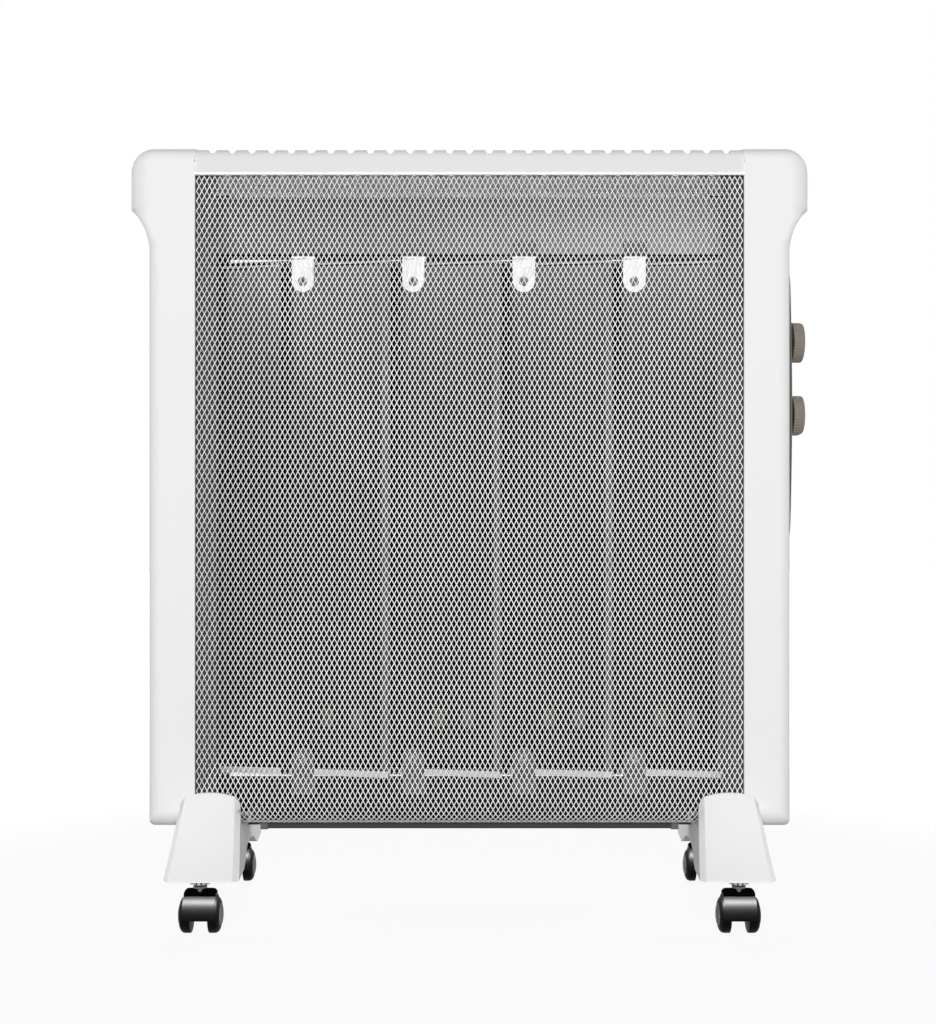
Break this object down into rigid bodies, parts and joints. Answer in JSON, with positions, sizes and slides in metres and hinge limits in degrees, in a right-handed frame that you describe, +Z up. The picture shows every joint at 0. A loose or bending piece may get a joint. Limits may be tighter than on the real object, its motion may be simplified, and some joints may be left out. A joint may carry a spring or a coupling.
{
  "type": "mica heater",
  "caption": "Flat mica convector heater: white side covers with hand grips, expanded-metal panels, slotted top, side control knobs and moulded feet on twin-wheel casters.",
  "frame": {"origin": "on the floor, under the middle of the body", "axes": "+Z up, front towards -Y, controls on the +X side"},
  "size_m": [0.5727, 0.236, 0.645],
  "materials": {
    "cover_white": "satin moulded white",
    "grille_white": "satin moulded white",
    "foot_white": "satin moulded white",
    "mesh_paint": "white powder coat on expanded metal",
    "tray_paint": "dark grey paint",
    "fascia_taupe": "dark taupe gloss",
    "knob_taupe": "taupe, fine axial flutes",
    "lamp_lens": "amber lens",
    "galvanised_sheet": "galvanised sheet",
    "mica_board": "dark mica board",
    "element_sheath": "pressed sheet edge",
    "terminal_brass": "plated tab",
    "zinc_fastener": "zinc plated",
    "control_housing": "black phenolic",
    "cutout_case": "ceramic case",
    "shaft_steel": "turned steel",
    "wire_jacket": "glass-braided heat-proof jacket",
    "gland_rubber": "black rubber",
    "bush_nylon": "natural nylon",
    "caster_black": "glossy black",
    "caster_steel": "plated steel"
  },
  "bodies": {
    "chassis": {"left_side_cover": "cover_white", "right_side_cover": "cover_white", "top_grille": "grille_white", "left_foot": "foot_white", "right_foot": "foot_white", "front_mesh_panel": "mesh_paint", "rear_mesh_panel": "mesh_paint", "bottom_tray": "tray_paint", "control_fascia": "fascia_taupe", "pilot_lamp": "lamp_lens", "left_end_plate": "galvanised_sheet", "right_end_plate": "galvanised_sheet", "upper_rail": "galvanised_sheet", "lower_rail": "galvanised_sheet", "element_clips": "galvanised_sheet", "mica_board_1": "mica_board", "mica_board_2": "mica_board", "mica_board_3": "mica_board", "mica_board_4": "mica_board", "element_frame_1": "element_sheath", "element_frame_2": "element_sheath", "element_frame_3": "element_sheath", "element_frame_4": "element_sheath", "element_terminals": "terminal_brass", "clip_screws": "zinc_fastener", "control_nuts": "zinc_fastener", "cover_screws": "zinc_fastener", "foot_screws": "zinc_fastener", "thermostat_body": "control_housing", "selector_body": "control_housing", "tip_over_switch": "control_housing", "terminal_block": "control_housing", "thermal_cutout": "cutout_case", "internal_wiring": "wire_jacket", "cord_gland": "gland_rubber", "caster_bushes": "bush_nylon"},
    "thermostat_control": {"thermostat_knob": "knob_taupe", "thermostat_shaft": "shaft_steel"},
    "selector_control": {"selector_knob": "knob_taupe", "selector_shaft": "shaft_steel"},
    "front_left_swivel": {"front_left_caster_stem": "caster_steel", "front_left_caster_hood": "caster_black", "front_left_caster_axle": "caster_steel"},
    "front_left_wheel_left": {"front_left_caster_wheel_left": "caster_black"},
    "front_left_wheel_right": {"front_left_caster_wheel_right": "caster_black"},
    "front_right_swivel": {"front_right_caster_stem": "caster_steel", "front_right_caster_hood": "caster_black", "front_right_caster_axle": "caster_steel"},
    "front_right_wheel_left": {"front_right_caster_wheel_left": "caster_black"},
    "front_right_wheel_right": {"front_right_caster_wheel_right": "caster_black"},
    "rear_left_swivel": {"rear_left_caster_stem": "caster_steel", "rear_left_caster_hood": "caster_black", "rear_left_caster_axle": "caster_steel"},
    "rear_left_wheel_left": {"rear_left_caster_wheel_left": "caster_black"},
    "rear_left_wheel_right": {"rear_left_caster_wheel_right": "caster_black"},
    "rear_right_swivel": {"rear_right_caster_stem": "caster_steel", "rear_right_caster_hood": "caster_black", "rear_right_caster_axle": "caster_steel"},
    "rear_right_wheel_left": {"rear_right_caster_wheel_left": "caster_black"},
    "rear_right_wheel_right": {"rear_right_caster_wheel_right": "caster_black"}
  },
  "joints": [
    {"name": "thermostat_turn", "type": "hinge", "parent": "chassis", "child": "thermostat_control", "pos_m": [0.2823, 0, 0.486], "axis": [-1, 0, 0], "range_deg": [0, 270]},
    {"name": "selector_turn", "type": "hinge", "parent": "chassis", "child": "selector_control", "pos_m": [0.2823, 0, 0.423], "axis": [-1, 0, 0], "range_deg": [0, 135]},
    {"name": "front_left_swivel", "type": "hinge", "parent": "chassis", "child": "front_left_swivel", "pos_m": [-0.216, -0.1, 0.04], "axis": [0, 0, 1], "continuous": true},
    {"name": "front_left_wheel_left_roll", "type": "hinge", "parent": "front_left_swivel", "child": "front_left_wheel_left", "pos_m": [-0.228, -0.097, 0.0147], "axis": [1, 0, 0], "continuous": true},
    {"name": "front_left_wheel_right_roll", "type": "hinge", "parent": "front_left_swivel", "child": "front_left_wheel_right", "pos_m": [-0.204, -0.097, 0.0147], "axis": [1, 0, 0], "continuous": true},
    {"name": "front_right_swivel", "type": "hinge", "parent": "chassis", "child": "front_right_swivel", "pos_m": [0.216, -0.1, 0.04], "axis": [0, 0, 1], "continuous": true},
    {"name": "front_right_wheel_left_roll", "type": "hinge", "parent": "front_right_swivel", "child": "front_right_wheel_left", "pos_m": [0.204, -0.097, 0.0147], "axis": [1, 0, 0], "continuous": true},
    {"name": "front_right_wheel_right_roll", "type": "hinge", "parent": "front_right_swivel", "child": "front_right_wheel_right", "pos_m": [0.228, -0.097, 0.0147], "axis": [1, 0, 0], "continuous": true},
    {"name": "rear_left_swivel", "type": "hinge", "parent": "chassis", "child": "rear_left_swivel", "pos_m": [-0.216, 0.1, 0.04], "axis": [0, 0, 1], "continuous": true},
    {"name": "rear_left_wheel_left_roll", "type": "hinge", "parent": "rear_left_swivel", "child": "rear_left_wheel_left", "pos_m": [-0.228, 0.103, 0.0147], "axis": [1, 0, 0], "continuous": true},
    {"name": "rear_left_wheel_right_roll", "type": "hinge", "parent": "rear_left_swivel", "child": "rear_left_wheel_right", "pos_m": [-0.204, 0.103, 0.0147], "axis": [1, 0, 0], "continuous": true},
    {"name": "rear_right_swivel", "type": "hinge", "parent": "chassis", "child": "rear_right_swivel", "pos_m": [0.216, 0.1, 0.04], "axis": [0, 0, 1], "continuous": true},
    {"name": "rear_right_wheel_left_roll", "type": "hinge", "parent": "rear_right_swivel", "child": "rear_right_wheel_left", "pos_m": [0.204, 0.103, 0.0147], "axis": [1, 0, 0], "continuous": true},
    {"name": "rear_right_wheel_right_roll", "type": "hinge", "parent": "rear_right_swivel", "child": "rear_right_wheel_right", "pos_m": [0.228, 0.103, 0.0147], "axis": [1, 0, 0], "continuous": true}
  ]
}
